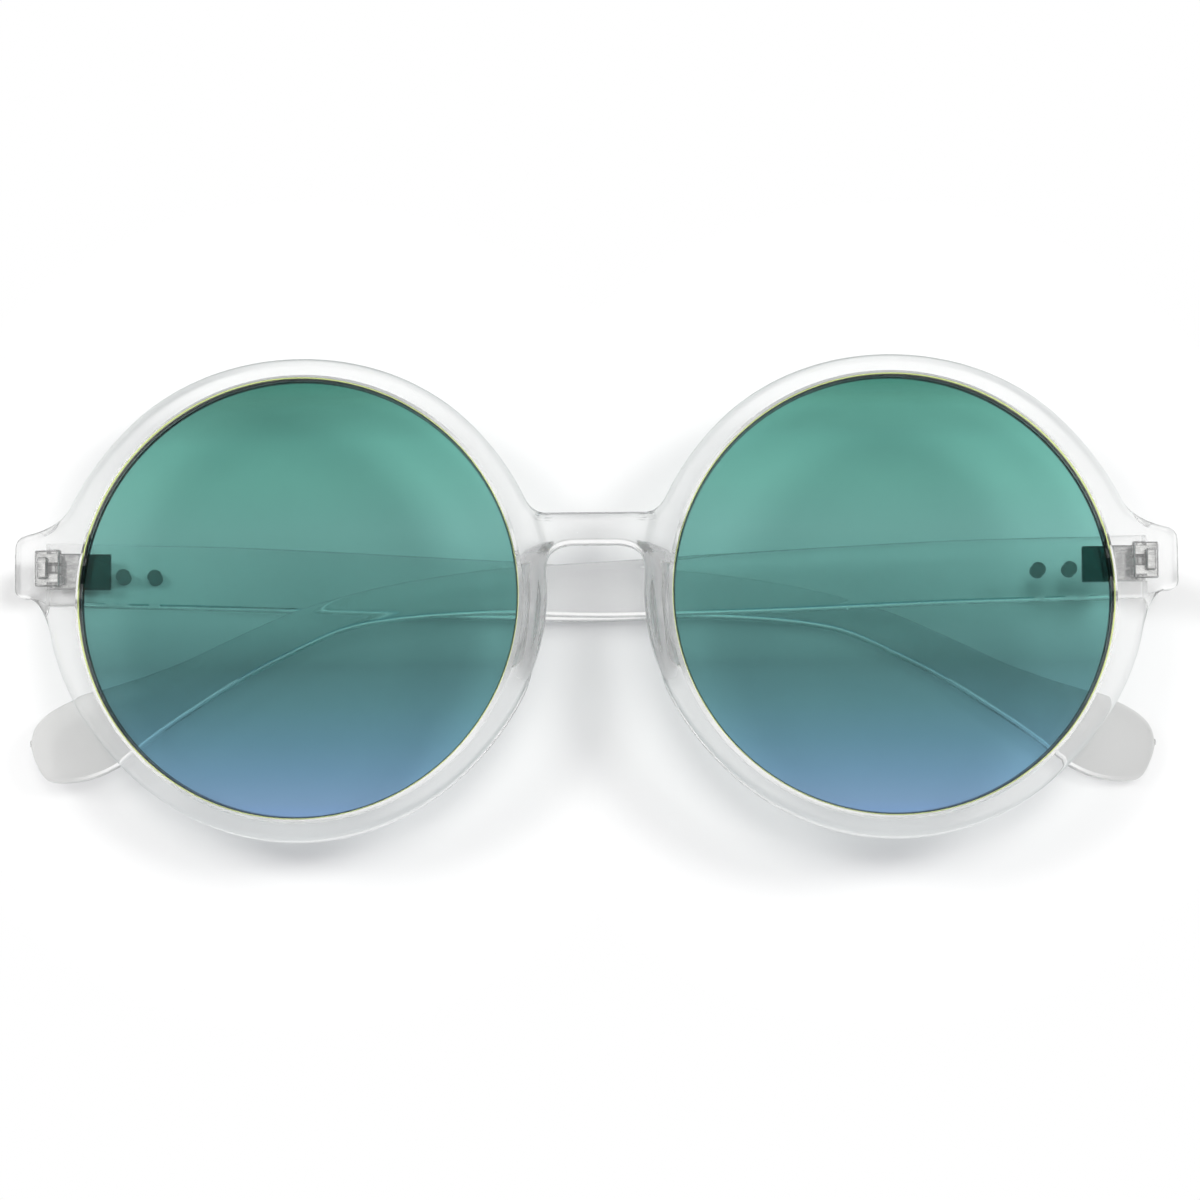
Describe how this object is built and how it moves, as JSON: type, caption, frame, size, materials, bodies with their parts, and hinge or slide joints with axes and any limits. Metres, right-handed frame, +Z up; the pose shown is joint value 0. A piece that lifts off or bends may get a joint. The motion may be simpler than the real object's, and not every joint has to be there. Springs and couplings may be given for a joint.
{
  "type": "round sunglasses",
  "caption": "Round sunglasses with a clear plastic frame, tinted lenses and folding temples on barrel hinges, lying folded.",
  "frame": {"origin": "middle of the bounding box of the folded glasses, on the surface they lie on", "axes": "+X to the right as seen from the front, which is the wearer's left; +Y towards the top edge; +Z up, out of the lens fronts, which lean 2.7 degrees because the left temple lies flat"},
  "size_m": [0.1502, 0.0626, 0.0191],
  "materials": {
    "clear_plastic": "colourless polished acetate, slightly milky",
    "lens_tint": "tinted lens, teal at the top and periwinkle blue at the bottom",
    "hinge_metal": "nickel silver, tumbled",
    "pin_metal": "steel pin seen through the plastic"
  },
  "bodies": {
    "front": {"front_frame": "clear_plastic", "lens_left": "lens_tint", "lens_right": "lens_tint", "hinge_front_left": "hinge_metal", "hinge_front_right": "hinge_metal", "hinge_screw_left": "hinge_metal", "hinge_screw_right": "hinge_metal"},
    "left_temple": {"temple_left": "clear_plastic", "hinge_temple_left": "hinge_metal", "temple_pin_left_front": "pin_metal", "temple_pin_left_rear": "pin_metal"},
    "right_temple": {"temple_right": "clear_plastic", "hinge_temple_right": "hinge_metal", "temple_pin_right_front": "pin_metal", "temple_pin_right_rear": "pin_metal"}
  },
  "joints": [
    {"name": "left_hinge", "type": "hinge", "parent": "front", "child": "left_temple", "pos_m": [-0.07021, 0.00477, 0.0048], "axis": [0, 1, 0], "range_deg": [0, 90.3]},
    {"name": "right_hinge", "type": "hinge", "parent": "front", "child": "right_temple", "pos_m": [0.07061, 0.00477, 0.01144], "axis": [0, -1, 0], "range_deg": [0, 94.2]}
  ]
}
